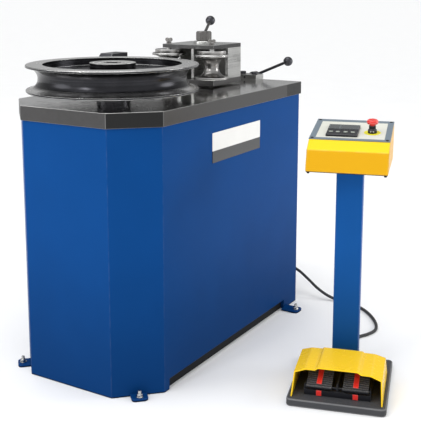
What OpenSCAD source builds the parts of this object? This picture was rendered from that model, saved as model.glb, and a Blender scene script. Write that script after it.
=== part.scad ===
// Tube bending machine for large radii: a cabinet with a steel table, a grooved bending wheel,
// a sliding head with two grooved rollers, and a control console with a double foot pedal.
// Millimetres. Origin on the floor below the middle of the table, +X from the wheel to the head.

/* [Table] */
// Length of the table top
table_l = 1140; // [1000:10:1400]
// Width of the table top
table_w = 616; // [560:2:800]
// Thickness of the table top
table_t = 50; // [30:1:70]
// Size of the two cut corners beside the wheel
table_corner = 130; // [90:5:160]
// Height of the working surface above the floor
table_h = 950; // [850:10:1050]

/* [Cabinet] */
// How far the cabinet stands back under the table's edge
cab_inset = 6; // [2:1:20]
// Height of the toe recess along both long sides
recess_h = 38; // [20:1:80]
// Depth of the toe recess
recess_d = 60; // [30:5:90]
// Length of the foot between the cut corner and the recess
front_foot_l = 29; // [15:1:80]
// Length of the foot between the recess and the rear
rear_foot_l = 114; // [60:2:180]
// Gap between the recess's mouth and the black rail behind it
rail_back = 14; // [5:1:25]
// Width of the service panel on the rear
service_w = 480; // [300:10:520]
// Distance of the service panel's upper edge below the table top
service_top_in = 60; // [30:5:200]
// Sheet thickness of the service panel
service_t = 2; // [1:0.5:4]
// Height of the service panel's lower edge
service_z = 180; // [150:10:220]

/* [Anchor tabs] */
// Width of a floor tab
tab_w = 55; // [40:1:80]
// How far a front tab stands out from the cabinet
tab_out = 44; // [38:1:80]
// How far a rear tab stands out from the cabinet
rear_tab_out = 72; // [50:1:90]
// Thickness of a tab
tab_t = 9; // [5:1:15]
// Corner radius of a tab
tab_r = 14; // [6:1:18]
// Diameter of the anchor bolt hole
tab_hole_d = 14; // [8:1:18]
// Distance of the hole from the tab's outer edge
tab_hole_in = 18; // [16:1:24]
// Distance of the rear tabs' middle from the cabinet's rear
rear_tab_in = 112; // [60:2:160]

/* [Sign plate] */
// Width of the blank plate on the near side
sign_w = 350; // [200:5:400]
// Height of the blank plate
sign_h = 107; // [60:1:160]
// Thickness of the blank plate
sign_t = 2; // [1:0.5:4]
// Place of the plate's middle along the cabinet
sign_x = 42; // [-40:2:80]
// Distance of the plate's upper edge below the table top
sign_top_in = 65.5; // [20:0.5:200]

/* [Bending wheel] */
// Outer diameter of the tube that is bent
tube_d = 76; // [60:1:80]
// Bending radius to the middle of the tube
bend_r = 295; // [280:5:310]
// How far the wheel's rim stands beyond the tube's middle
rim_over = 2; // [1:1:4]
// Thickness of the wheel at the rim
wheel_t = 93; // [90:1:100]
// Extra radius of every tube groove over the tube
groove_play = 1; // [0.5:0.1:2]
// Radius of the turned recess in the wheel's face
face_r = 239; // [200:1:244]
// Depth of the turned recess
face_deep = 25; // [10:1:40]
// Radius of the wheel's hub
hub_r = 80; // [70:1:110]
// How far the hub stands above the rim
hub_up = 3; // [0:1:10]
// Chamfer on the rim's edges
rim_chamfer = 2; // [1:0.5:2]
// Radius of the spindle in the wheel's bore
spindle_r = 34; // [25:1:40]
// Radius of the dish in the spindle's upper end
spindle_dish_r = 20; // [12:1:24]
// Width of the spanner slots across the spindle's end
spanner_w = 9; // [6:1:12]
// Depth of the dish and the spanner slots
spanner_deep = 6; // [3:1:10]
// Radius of the collar under the wheel
collar_r = 58; // [50:1:90]
// Height of the collar
collar_h = 34; // [30:1:60]
// Radius of the two driving pins
drive_pin_r = 9; // [6:1:10]
// Distance of the driving pins from the spindle's axis
drive_pin_at = 58; // [56:1:60]
// Running play round shafts and pins
shaft_play = 0.05; // [0.02:0.01:0.1]

/* [Tube hook] */
// Distance of the hook from the tangent point, along the tube
hook_y = 203; // [195:1:230]
// Length of the hook along the tube
hook_l = 57; // [40:1:80]
// Wall of the hook on the wheel's side of the tube
hook_in_wall = 10; // [8:1:16]
// Wall of the hook on the outer side of the tube
hook_out_wall = 24; // [12:1:30]
// Wall of the hook over the tube
hook_top_wall = 15; // [8:1:20]
// Play round the tube in the hook
hook_play = 0.5; // [0.3:0.1:1]
// Thickness of the arm that carries the hook
hook_arm_t = 20; // [12:1:24]
// Width of the arm that carries the hook
hook_arm_w = 70; // [50:5:90]
// Radius where the arm starts under the wheel
hook_arm_from = 130; // [100:5:200]

/* [Roller head] */
// Distance of the head's front edge from the tube's middle line
head_from_tube = 182; // [150:1:200]
// Length of the head
head_l = 215; // [205:5:260]
// Free slide way between the head and the end block
head_to_block = 110; // [70:5:200]
// Width of the head over its side walls
head_w = 236; // [230:2:260]
// Thickness of the head's top plate
head_top_t = 15; // [8:1:20]
// Thickness of the head's base plate
head_base_t = 20; // [12:1:30]
// Height of the sliding shoe under the base plate
shoe_h = 7; // [5:1:12]
// How far the shoe stands back under the base plate
shoe_in = 52; // [20:2:60]
// Thickness of the head's side and back walls
head_wall = 12; // [8:1:20]
// Length of the side walls
side_wall_l = 103; // [60:1:130]
// Thickness of the middle rib
rib_t = 12; // [8:1:20]
// How far the rib stands back from the front edge
rib_in = 35; // [20:1:60]
// Distance between the two roller axes
roller_pitch = 200; // [196:2:204]
// Distance of the roller axes from the head's front edge
roller_in = 18; // [16:1:40]
// Flange radius of a roller
roller_r = 67; // [60:1:70]
// Radius of a roller at the bottom of its groove
roller_throat = 27; // [24:1:27]
// Thickness of a roller's flange at its edge
roller_flange = 9; // [7:1:10]
// Radius of the bearing cap on a roller
cap_r = 55; // [40:1:60]
// Height of the bearing cap on a roller
cap_h = 14; // [8:1:16]
// Radius of a roller's pin
roller_pin_r = 10; // [8:1:12]
// Radius of the thrust washer under a roller
washer_r = 22; // [16:1:30]
// Height of a wing screw
wing_h = 24; // [18:1:30]
// Width of a wing screw over its wings
wing_w = 32; // [26:1:40]
// Clear gap kept between moving faces
run_gap = 5.5; // [5:0.5:6]
// Small gap where a moving piece seats on another
seat_gap = 0.3; // [0.2:0.05:0.5]

/* [Clamp levers] */
// Radius of the washer under the head's lever
lever_washer_r = 42; // [36:1:50]
// Thickness of the washer under the head's lever
lever_washer_t = 9; // [4:1:12]
// Distance of the head's lever from the front edge
head_lever_in = 121; // [80:1:140]
// Width across the flats of the head lever's nut
head_nut_af = 54; // [40:1:60]
// Height of the head lever's nut
head_nut_h = 38; // [30:1:50]
// Radius of a lever's rod
rod_r = 6; // [4:0.5:8]
// Radius of a lever's ball
ball_r = 19.7; // [14:0.1:25]
// Distance of the ball from the axis of the head's lever
head_rod_l = 134; // [100:1:180]
// Direction of the head's lever in plan
head_lever_turn = 19; // [-40:1:60]
// Rise of a lever's rod
rod_rise = 23; // [15:1:40]
// Distance of the ball from the axis of the end lever
end_rod_l = 170; // [120:1:200]
// Radius of the end lever's boss
end_boss_r = 17; // [13:1:20]
// Length of the end lever's boss
end_boss_l = 40; // [34:1:60]
// Distance of the end lever from the table's middle line
end_lever_y = 75; // [65:1:90]

/* [End block] */
// Length of the block that closes the head's slide way
block_l = 65; // [50:1:80]
// Width of the end block
block_w = 260; // [240:2:300]
// Thickness of the end block
block_t = 22; // [18:1:30]
// Width across the flats of its bolts
bolt_af = 22; // [17:1:24]
// Height of a bolt's head
bolt_h = 11; // [8:1:14]
// Distance of the inner bolts from the middle line
bolt_y1 = 50; // [30:1:50]
// Distance of the outer bolts from the middle line
bolt_y2 = 105; // [100:1:108]

/* [Console] */
// Place of the console's base along the machine
console_x = -79.5; // [-200:0.5:-60]
// Place of the console's base in front of the machine
console_y = -784.4; // [-1000:0.1:-700]
// Turn of the console
console_turn = 16.5; // [0:0.5:40]
// Depth of the base plate
base_l = 385; // [370:1:450]
// Width of the base plate
base_w = 320; // [310:1:400]
// Thickness of the base plate
base_t = 25; // [15:1:40]
// Corner radius of the base plate
base_r = 16; // [8:1:30]
// Width of the post
post_w = 90; // [60:1:120]
// Depth of the post
post_l = 50; // [40:1:60]
// Distance of the post's front face from the base's front edge
post_in = 282; // [280:1:300]
// Height of the box's underside
box_z = 745; // [600:5:800]
// Width of the box
box_w = 266; // [240:1:300]
// Height of the box's lower front edge to its fold
box_fold_h = 69; // [50:1:80]
// Height of the panel's front edge over the box's underside
box_front_h = 95; // [90:1:120]
// Height of the panel's rear edge over the box's underside
box_back_h = 126; // [120:1:150]
// Distance of the box's lower edge from the base's front edge
box_p0 = 150; // [130:1:170]
// Distance of the box's fold from the base's front edge
box_p1 = 174; // [172:1:185]
// Distance of the panel's front edge from the base's front edge
box_p2 = 221; // [200:1:240]
// Distance of the panel's rear edge from the base's front edge
box_p3 = 452; // [440:1:480]
// Distance of the box's lower rear edge from the base's front edge
box_p4 = 440; // [400:1:480]
// Radius of the rubber feet under the box's corners
box_foot_r = 4.5; // [3:0.5:6]
// Height of the rubber feet
box_foot_h = 7; // [4:1:10]
// Distance of a rubber foot's middle from the box's edges
box_foot_in = 9; // [7:1:15]

/* [Control panel] */
// Thickness of the panel's frame
frame_t = 3; // [2:0.5:6]
// Width of the frame's front bar
frame_front = 18; // [10:1:25]
// Width of the frame's rear bar
frame_back = 25; // [10:1:30]
// Width of the frame's side bars
frame_side = 20; // [10:1:30]
// Thickness of the light plate inside the frame
plate_t = 2; // [1:0.5:3]
// Width of the display unit
display_w = 105; // [80:1:120]
// Depth of the display unit
display_l = 118; // [80:1:130]
// Height of the display unit over the plate
display_h = 8; // [4:1:20]
// Place of the display unit up the panel
display_s = 92; // [85:1:110]
// Place of the display unit left of the middle
display_q = 29; // [20:1:45]
// Place of the stop button up the panel
stop_s = 92; // [60:1:140]
// Place of the stop button right of the middle
stop_q = 68; // [55:1:75]
// Radius of the yellow ring under the stop button
stop_ring_r = 28; // [22:1:32]
// Radius of the stop button's body
stop_body_r = 15; // [12:1:18]
// Height of the stop button's body
stop_body_h = 26; // [22:1:35]
// Height of the wide foot of the stop button's body
stop_foot_h = 11; // [8:1:14]
// Radius of the stop button's body above its foot
stop_neck_r = 11.5; // [10.5:0.5:12]
// Radius of the stop button's head
stop_head_r = 20; // [17:1:22]
// Height of the stop button's head
stop_head_h = 14; // [10:1:18]
// Radius of the stop button's stem
stop_stem_r = 8; // [6:1:10]

/* [Foot pedals] */
// Half width of the hood at the base
hood_half_w = 147; // [140:1:150]
// Height of the hood over the base plate
hood_h = 92; // [85:1:110]
// Wall of the hood
hood_wall = 4; // [3:0.5:6]
// Distance of the hood's lower front edge from the base's front edge
hood_p0 = 20; // [14:1:30]
// Distance of the hood's upper front edge from the base's front edge
hood_p1 = 58; // [50:1:70]
// Distance of the roof's rear edge from the base's front edge
hood_p2 = 222; // [210:1:240]
// Distance of the hood's lower rear edge from the base's front edge
hood_p3 = 276; // [262:1:279]
// Width of a pedal
pedal_w = 82; // [70:1:84]
// Length of a pedal along its slope
pedal_l = 112; // [90:1:120]
// Thickness of a pedal's plate
pedal_t = 7; // [5:1:9]
// Slope of a pedal at rest
pedal_slope = 18; // [15:1:22]
// Distance of a pedal's middle from the console's middle
pedal_y = 59; // [58:1:62]
// Distance of the pedals' hinge from the base's front edge
pedal_p = 56; // [52:1:70]
// Height of the pedals' hinge over the base plate
pedal_z = 28; // [26:1:32]
// Number of treads on a pedal
treads = 11; // [6:1:14]
// Height of a tread
tread_h = 2; // [1:0.5:3]
// Width of the red latch on a pedal
latch_w = 17; // [12:1:24]
// Length of the red latch on a pedal
latch_l = 74; // [40:1:90]
// Thickness of a red latch
latch_t = 3; // [2:0.5:5]
// Height of the black housing under the pedals
housing_h = 18; // [12:1:20]
// Radius of the pedals' hinge rod
hinge_r = 3; // [2:0.5:4]

/* [Control cable] */
// Diameter of the control cable
cable_d = 12; // [8:1:14]
// Radius of a cable gland at its nut
gland_r = 14; // [11:1:18]
// Length of a gland's nut
gland_nut_l = 12; // [8:1:16]
// Length of a gland's tapered boot
gland_boot_l = 26; // [20:1:40]
// Place of the cabinet's gland across the rear
cab_gland_y = -190; // [-240:5:240]
// Height of the cabinet's gland
cab_gland_z = 120; // [80:5:140]
// Height of the gland on the console's post
post_gland_z = 62; // [50:1:100]

/* [Hidden] */

$fn = 96;
blue = "#1d5298";
steel = "#8b8b8a";
dark_steel = "#5d5d5f";
black = "#1c1d20";
yellow = "#fccd14";
red = "#e13c37";
eps = 1;

cab_l = table_l - 2 * cab_inset;
cab_w = table_w - 2 * cab_inset;
cab_h = table_h - table_t;
cab_corner = table_corner - cab_inset * (2 - sqrt(2));
recess_x0 = -cab_l / 2 + cab_corner + front_foot_l;
recess_x1 = cab_l / 2 - rear_foot_l;

block_x0 = table_l / 2 - block_l;
head_x1 = block_x0 - head_to_block;
head_x0 = head_x1 - head_l;
tube_x = head_x0 - head_from_tube;
wheel_x = tube_x - bend_r;
wheel_r = bend_r + rim_over;
wheel_z = table_h + collar_h;
tube_z = wheel_z + wheel_t / 2;
groove_r = tube_d / 2 + groove_play;
hub_top = wheel_t + hub_up;

hook_bore_r = tube_d / 2 + hook_play;
hook_x0 = tube_x - hook_bore_r - hook_in_wall;
hook_x1 = tube_x + hook_bore_r + hook_out_wall;
hook_top = tube_z + hook_bore_r + hook_top_wall;
hook_mid_y = hook_y + hook_l / 2;
hook_arm_z = wheel_z - hook_arm_t;

roller_x = head_x0 + roller_in;
roller_groove_at = roller_throat + groove_r;
roller_h = 2 * (roller_flange + groove_r);
roller_z = tube_z - roller_h / 2;
base_top_z = roller_z - run_gap;
base_bottom_z = base_top_z - head_base_t;
top_plate_z = roller_z + roller_h + cap_h + run_gap;
head_z = top_plate_z + head_top_t;
wall_h = top_plate_z - base_top_z;
head_lever_x = head_x0 + head_lever_in;
head_nut_z = head_z + lever_washer_t + seat_gap;
head_rod_z = head_nut_z + head_nut_h * 0.62;

end_lever_z = table_h + block_t / 2;
end_rod_x = table_l / 2 + seat_gap + end_boss_l * 0.7;

panel_rise = atan2(box_back_h - box_front_h, box_p3 - box_p2);
panel_l = norm([box_back_h - box_front_h, box_p3 - box_p2]);
stop_gap = 6;

housing_top = base_t + housing_h;
housing_p0 = pedal_p - 8;
housing_p1 = hood_p2 - 20;
housing_half_w = pedal_y + pedal_w / 2 + 8;
divider_t = 6;
gland_l = gland_nut_l + gland_boot_l;
cable_r = cable_d / 2;

// Rectangle with both corners on the -X side cut at 45 degrees
module cut_rectangle(l, w, corner) {
  polygon([[-l / 2 + corner, -w / 2], [l / 2, -w / 2], [l / 2, w / 2], [-l / 2 + corner, w / 2],
    [-l / 2, w / 2 - corner], [-l / 2, -w / 2 + corner]]);
}

module cabinet() color(blue) difference() {
  linear_extrude(cab_h) cut_rectangle(cab_l, cab_w, cab_corner);
  for (side = [-1, 1])
    translate([recess_x0, side * (cab_w / 2 - recess_d / 2) - (recess_d + eps) / 2, -eps])
      cube([recess_x1 - recess_x0, recess_d + eps, recess_h + eps]);
  translate([wheel_x, 0, cab_h - table_t]) cylinder(r = spindle_r + 6, h = table_t + eps);
}

module base_rails() color(black)
  for (side = [-1, 1])
    translate([recess_x0, side * (cab_w / 2 - (recess_d + rail_back) / 2) - (recess_d - rail_back) / 2, 0])
      cube([recess_x1 - recess_x0, recess_d - rail_back, recess_h]);

module service_panel() color(blue)
  translate([cab_l / 2, -service_w / 2, service_z])
    cube([service_t, service_w, cab_h - service_top_in - service_z]);

module table_top() color(steel) difference() {
  translate([0, 0, cab_h]) linear_extrude(table_t) cut_rectangle(table_l, table_w, table_corner);
  translate([wheel_x, 0, cab_h - eps]) cylinder(r = spindle_r + shaft_play, h = table_t + 2 * eps);
}

// Floor tab that stands out along +X from x = 0, with rounded outer corners and its bolt hole
module anchor_tab(out) difference() {
  union() {
    translate([0, -tab_w / 2, 0]) cube([out - tab_r, tab_w, tab_t]);
    translate([0, -tab_w / 2 + tab_r, 0]) cube([out, tab_w - 2 * tab_r, tab_t]);
    for (side = [-1, 1])
      translate([out - tab_r, side * (tab_w / 2 - tab_r), 0]) cylinder(r = tab_r, h = tab_t);
  }
  translate([out - tab_hole_in, 0, -eps]) cylinder(d = tab_hole_d, h = tab_t + 2 * eps);
}

module front_anchor_tabs() color(blue)
  for (side = [-1, 1])
    translate([-cab_l / 2 + cab_corner / 2, side * (cab_w / 2 - cab_corner / 2), 0])
      rotate([0, 0, side * 135]) anchor_tab(tab_out);

module rear_anchor_tabs() color(blue)
  for (side = [-1, 1])
    translate([cab_l / 2 - rear_tab_in, side * cab_w / 2, 0])
      rotate([0, 0, side * 90]) anchor_tab(rear_tab_out);

module sign_plate() color("#d9d9d6")
  translate([sign_x - sign_w / 2, -cab_w / 2 - sign_t, cab_h - sign_top_in - sign_h])
    cube([sign_w, sign_t, sign_h]);

// Spindle with its collar, the two pins that drive the wheel and a dished end with four spanner slots
module spindle() color(dark_steel) translate([wheel_x, 0, 0]) difference() {
  union() {
    translate([0, 0, cab_h + seat_gap]) cylinder(r = spindle_r, h = wheel_z + hub_top - cab_h - seat_gap - 2);
    translate([0, 0, wheel_z + hub_top - 2]) cylinder(r1 = spindle_r, r2 = spindle_r - 2, h = 2);
    translate([0, 0, table_h + seat_gap]) cylinder(r = collar_r, h = collar_h - seat_gap);
    for (side = [-1, 1])
      translate([0, side * drive_pin_at, wheel_z - run_gap])
        cylinder(r = drive_pin_r, h = hub_top + run_gap);
  }
  translate([0, 0, wheel_z + hub_top - spanner_deep]) {
    cylinder(r = spindle_dish_r, h = spanner_deep + eps);
    for (turn = [0, 90])
      rotate([0, 0, turn])
        translate([-spindle_r - eps, -spanner_w / 2, 0])
          cube([2 * (spindle_r + eps), spanner_w, spanner_deep + eps]);
  }
}

// Half section of the wheel blank, from the bore to the rim
module wheel_section() {
  polygon([[0, 0], [wheel_r - rim_chamfer, 0], [wheel_r, rim_chamfer], [wheel_r, wheel_t - rim_chamfer],
    [wheel_r - rim_chamfer, wheel_t], [face_r, wheel_t], [face_r, wheel_t - face_deep],
    [hub_r, wheel_t - face_deep], [hub_r, hub_top], [0, hub_top]]);
}

module bending_wheel() color(dark_steel) translate([wheel_x, 0, wheel_z]) difference() {
  rotate_extrude($fn = 180) wheel_section();
  rotate_extrude($fn = 180) translate([bend_r, wheel_t / 2]) circle(r = groove_r);
  translate([0, 0, -eps]) cylinder(r = spindle_r + shaft_play, h = hub_top + 2 * eps);
  for (side = [-1, 1])
    translate([0, side * drive_pin_at, -eps])
      cylinder(r = drive_pin_r + shaft_play, h = hub_top + 2 * eps);
}

module hook_arm() color(dark_steel) translate([0, 0, hook_arm_z]) linear_extrude(hook_arm_t) union() {
  translate([wheel_x, 0])
    rotate(atan2(hook_mid_y, hook_x1 - wheel_x))
      translate([hook_arm_from, -hook_arm_w / 2])
        square([norm([hook_mid_y, hook_x1 - wheel_x]) - hook_arm_from, hook_arm_w]);
  translate([hook_x0, hook_y]) square([hook_x1 - hook_x0, hook_l]);
}

module tube_hook() color(dark_steel) difference() {
  translate([0, hook_y, 0]) rotate([-90, 0, 0]) mirror([0, 1, 0]) linear_extrude(hook_l)
    polygon([[hook_x0, wheel_z], [hook_x1, wheel_z], [hook_x1, hook_top],
      [hook_x0 + hook_top_wall, hook_top], [hook_x0, hook_top - hook_top_wall]]);
  translate([tube_x, hook_y - eps, tube_z]) rotate([-90, 0, 0]) cylinder(r = hook_bore_r, h = hook_l + 2 * eps);
}

module head_base() color(steel) difference() {
  union() {
    translate([head_x0, -head_w / 2, base_bottom_z]) cube([head_l, head_w, head_base_t]);
    translate([head_x0 + shoe_in, -head_w / 2 + shoe_in, table_h + seat_gap])
      cube([head_l - 2 * shoe_in, head_w - 2 * shoe_in, base_bottom_z - table_h - seat_gap]);
  }
  for (side = [-1, 1])
    translate([roller_x, side * roller_pitch / 2, base_bottom_z - eps])
      cylinder(r = roller_pin_r, h = head_base_t + 2 * eps);
}

module head_side_walls() color(steel)
  for (y = [-head_w / 2, head_w / 2 - head_wall])
    translate([head_x1 - side_wall_l, y, base_top_z]) cube([side_wall_l, head_wall, wall_h]);

module head_back_wall() color(steel)
  translate([head_x1 - head_wall, -head_w / 2 + head_wall, base_top_z])
    cube([head_wall, head_w - 2 * head_wall, wall_h]);

module head_rib() color(steel)
  translate([head_x0 + rib_in, -rib_t / 2, base_top_z]) cube([head_l - rib_in - head_wall, rib_t, wall_h]);

module head_top_plate() color(steel) difference() {
  translate([head_x0, -head_w / 2, top_plate_z]) cube([head_l, head_w, head_top_t]);
  for (side = [-1, 1])
    translate([roller_x, side * roller_pitch / 2, top_plate_z - eps])
      cylinder(r = roller_pin_r, h = head_top_t + 2 * eps);
}

module roller_pins() color(steel)
  for (side = [-1, 1])
    translate([roller_x, side * roller_pitch / 2, 0]) {
      translate([0, 0, base_bottom_z]) cylinder(r = roller_pin_r, h = head_z - base_bottom_z);
      translate([0, 0, base_top_z]) cylinder(r = washer_r, h = run_gap - seat_gap);
    }

// Wing screw that stands on z = 0
module wing_screw() {
  wing_r = wing_h * 0.32;
  cylinder(r = wing_w * 0.3, h = wing_h * 0.42);
  for (side = [-1, 1])
    translate([0, side * (wing_w / 2 - wing_r), wing_h - wing_r])
      rotate([0, 90, 0]) cylinder(r = wing_r, h = wing_r * 0.7, center = true);
}

module wing_screws() color(steel)
  for (side = [-1, 1])
    translate([roller_x, side * roller_pitch / 2, head_z]) wing_screw();

// Grooved roller on z = 0 with its bore
module roller() difference() {
  rotate_extrude() polygon([[0, 0], [roller_r - rim_chamfer, 0], [roller_r, rim_chamfer],
    [roller_r, roller_h - rim_chamfer], [roller_r - rim_chamfer, roller_h], [0, roller_h]]);
  rotate_extrude() translate([roller_groove_at, roller_h / 2]) circle(r = groove_r);
  translate([0, 0, -eps]) cylinder(r = roller_pin_r + shaft_play, h = roller_h + 2 * eps);
}

// Bearing cap that turns with its roller
module roller_cap() difference() {
  cylinder(r = cap_r, h = cap_h);
  translate([0, 0, -eps]) cylinder(r = roller_pin_r + shaft_play, h = cap_h + 2 * eps);
}

module near_roller() color(steel) translate([roller_x, -roller_pitch / 2, roller_z]) roller();
module far_roller() color(steel) translate([roller_x, roller_pitch / 2, roller_z]) roller();
module near_roller_cap() color(steel) translate([roller_x, -roller_pitch / 2, roller_z + roller_h]) roller_cap();
module far_roller_cap() color(steel) translate([roller_x, roller_pitch / 2, roller_z + roller_h]) roller_cap();

module lever_washer() color(steel)
  translate([head_lever_x, 0, head_z]) {
    cylinder(r = lever_washer_r, h = lever_washer_t - 2);
    translate([0, 0, lever_washer_t - 2]) cylinder(r1 = lever_washer_r, r2 = lever_washer_r - 2, h = 2);
  }

// Hexagon of a width across flats, chamfered at both ends
module hex_nut(af, h) intersection() {
  corner = af / 2 / cos(30);
  cut = corner - af / 2;
  cylinder(r = corner, h = h, $fn = 6);
  union() {
    cylinder(r1 = af / 2, r2 = corner, h = cut);
    translate([0, 0, cut]) cylinder(r = corner, h = h - 2 * cut);
    translate([0, 0, h - cut]) cylinder(r1 = corner, r2 = af / 2, h = cut);
  }
}

// Places its children at a lever's rod: +Z runs from the axis to the ball
module at_head_rod()
  translate([head_lever_x, 0, head_rod_z]) rotate([0, 90 - rod_rise, head_lever_turn]) children();

module at_end_rod()
  translate([end_rod_x, -end_lever_y, end_lever_z]) rotate([90 - rod_rise, 0, 0]) children();

// Ball with the hole that its rod fills
module ball(rod_l) translate([0, 0, rod_l]) difference() {
  sphere(r = ball_r);
  translate([0, 0, -ball_r - eps]) cylinder(r = rod_r, h = ball_r + eps);
}

module head_lever() color(dark_steel) {
  translate([head_lever_x, 0, head_nut_z]) hex_nut(head_nut_af, head_nut_h);
  at_head_rod() cylinder(r = rod_r, h = head_rod_l);
}

module head_lever_ball() color(dark_steel) at_head_rod() ball(head_rod_l);

module end_lever() color(dark_steel) {
  translate([table_l / 2 + seat_gap, -end_lever_y, end_lever_z]) rotate([0, 90, 0]) {
    cylinder(r = end_boss_r, h = end_boss_l - 2);
    translate([0, 0, end_boss_l - 2]) cylinder(r1 = end_boss_r, r2 = end_boss_r - 2, h = 2);
  }
  translate([block_x0, -end_lever_y, end_lever_z]) rotate([0, 90, 0])
    cylinder(r = rod_r, h = block_l + seat_gap + 1);
  at_end_rod() cylinder(r = rod_r, h = end_rod_l);
}

module end_lever_ball() color(dark_steel) at_end_rod() ball(end_rod_l);

module end_block() color(steel) difference() {
  translate([block_x0, -block_w / 2, table_h]) cube([block_l, block_w, block_t]);
  translate([block_x0 - eps, -end_lever_y, end_lever_z]) rotate([0, 90, 0])
    cylinder(r = rod_r + shaft_play, h = block_l + 2 * eps);
}

module end_block_bolts() color(steel)
  for (y = [-bolt_y2, -bolt_y1, bolt_y1, bolt_y2])
    translate([block_x0 + block_l / 2, y, table_h + block_t]) hex_nut(bolt_af, bolt_h);

// Places its children on the console: x from the base's front edge, y to the left, z from the floor
module at_console()
  translate([console_x, console_y, 0]) rotate([0, 0, console_turn]) translate([-base_l / 2, 0, 0]) children();

module console_base() color("#4d4e52") at_console() union() {
  translate([base_r, -base_w / 2, 0]) cube([base_l - 2 * base_r, base_w, base_t]);
  translate([0, -base_w / 2 + base_r, 0]) cube([base_l, base_w - 2 * base_r, base_t]);
  for (x = [base_r, base_l - base_r])
    for (y = [-base_w / 2 + base_r, base_w / 2 - base_r])
      translate([x, y, 0]) cylinder(r = base_r, h = base_t);
}

module console_post() color(blue) at_console()
  translate([post_in, -post_w / 2, base_t]) cube([post_l, post_w, box_z - base_t]);

module console_box() color(yellow) at_console()
  translate([0, box_w / 2, box_z]) rotate([90, 0, 0]) linear_extrude(box_w)
    polygon([[box_p0, 0], [box_p4, 0], [box_p3, box_back_h], [box_p2, box_front_h], [box_p1, box_fold_h]]);

module box_feet() color(black) at_console()
  for (p = [box_p0 + box_foot_in, box_p4 - box_foot_in])
    for (side = [-1, 1])
      translate([p, side * (box_w / 2 - box_foot_in), box_z - box_foot_h]) cylinder(r = box_foot_r, h = box_foot_h);

// Places its children on the sloping panel: x up the slope, y to the left, z out of the panel
module at_panel()
  at_console() translate([box_p2, 0, box_z + box_front_h]) rotate([0, -panel_rise, 0]) children();

module panel_frame() color("#6e7d87") at_panel() difference() {
  translate([0, -box_w / 2, 0]) cube([panel_l, box_w, frame_t]);
  translate([frame_front, -box_w / 2 + frame_side, -eps])
    cube([panel_l - frame_front - frame_back, box_w - 2 * frame_side, frame_t + 2 * eps]);
}

module panel_plate() color("#e1e1d7") at_panel()
  translate([frame_front, -box_w / 2 + frame_side, 0])
    cube([panel_l - frame_front - frame_back, box_w - 2 * frame_side, plate_t]);

module display_unit() color(black) at_panel()
  translate([display_s - display_l / 2, display_q - display_w / 2, plate_t])
    cube([display_l, display_w, display_h]);

module at_stop() at_panel() translate([stop_s, -stop_q, plate_t]) children();

module stop_ring() color(yellow) at_stop() difference() {
  cylinder(r = stop_ring_r, h = 1);
  translate([0, 0, -eps]) cylinder(r = stop_body_r, h = 1 + 2 * eps);
}

module stop_body() color(black) at_stop() difference() {
  rotate_extrude() polygon([[0, 0], [stop_body_r, 0], [stop_body_r, stop_foot_h],
    [stop_neck_r, stop_foot_h + stop_body_r - stop_neck_r], [stop_neck_r, stop_body_h], [0, stop_body_h]]);
  translate([0, 0, stop_body_h / 2]) cylinder(r = stop_stem_r + shaft_play, h = stop_body_h);
}

module stop_button() color(red) at_stop() {
  translate([0, 0, stop_body_h / 2 + stop_gap]) cylinder(r = stop_stem_r, h = stop_body_h / 2 + eps);
  translate([0, 0, stop_body_h + stop_gap]) {
    cylinder(r1 = stop_head_r - 3, r2 = stop_head_r, h = stop_head_h / 2);
    translate([0, 0, stop_head_h / 2]) cylinder(r1 = stop_head_r, r2 = stop_head_r - 4, h = stop_head_h / 2);
  }
}

// Cross-section of the hood: straight sides, bevelled shoulders and a raised middle
module hood_section(wall) {
  side = [[hood_half_w - wall, 0], [hood_half_w - 5 - wall, hood_h * 0.79 - wall * 0.5],
    [hood_half_w * 0.73 - wall * 0.6, hood_h * 0.93 - wall], [hood_half_w * 0.5, hood_h * 0.93 - wall],
    [hood_half_w * 0.44, hood_h - wall]];
  other = [for (i = [len(side) - 1 : -1 : 0]) [-side[i][0], side[i][1]]];
  polygon(concat(side, other));
}

// Side view of the hood; the inner one runs out through the front
module hood_profile(wall, front) {
  polygon([[hood_p0 - front, 0], [hood_p1 - front, hood_h + 2], [hood_p2 - wall * 0.6, hood_h + 2],
    [hood_p3 - wall * 1.2, 0]]);
}

module hood_solid(wall, front) intersection() {
  rotate([90, 0, 90]) linear_extrude(base_l) hood_section(wall);
  translate([0, base_w / 2, 0]) rotate([90, 0, 0]) linear_extrude(base_w) hood_profile(wall, front);
}

module pedal_hood() color(yellow) at_console() translate([0, 0, base_t]) difference() {
  hood_solid(0, 0);
  translate([0, 0, -0.01]) hood_solid(hood_wall, 2 * hood_wall);
}

module pedal_housing() color(black) at_console() {
  translate([housing_p0, -housing_half_w, base_t]) cube([housing_p1 - housing_p0, 2 * housing_half_w, housing_h]);
  translate([housing_p0 + 4, -divider_t / 2, housing_top])
    cube([housing_p1 - housing_p0 - 4, divider_t, pedal_z + 14 - housing_h]);
  for (side = [-1, 1])
    translate([housing_p0 + 4, side * (housing_half_w - 2) - 2, housing_top]) cube([24, 4, pedal_z + 6 - housing_h]);
  translate([pedal_p, housing_half_w - 2, base_t + pedal_z]) rotate([90, 0, 0])
    cylinder(r = hinge_r, h = 2 * housing_half_w - 4);
}

// Places its children at a pedal's hinge: x up the pedal's slope, z out of its tread
module at_pedal(side)
  at_console() translate([pedal_p, side * pedal_y, base_t + pedal_z]) rotate([0, -pedal_slope, 0]) children();

// Pedal plate with its treads and the barrel round the hinge rod
module pedal() difference() {
  union() {
    translate([-12, -pedal_w / 2, 0]) cube([pedal_l, pedal_w, pedal_t]);
    for (i = [0 : treads - 1])
      translate([-10 + i * (pedal_l - 8) / treads, -pedal_w / 2, pedal_t]) cube([4, pedal_w, tread_h]);
    rotate([90, 0, 0]) cylinder(r = hinge_r + 3, h = pedal_w, center = true);
  }
  rotate([90, 0, 0]) cylinder(r = hinge_r + shaft_play, h = pedal_w + 2, center = true);
}

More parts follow.
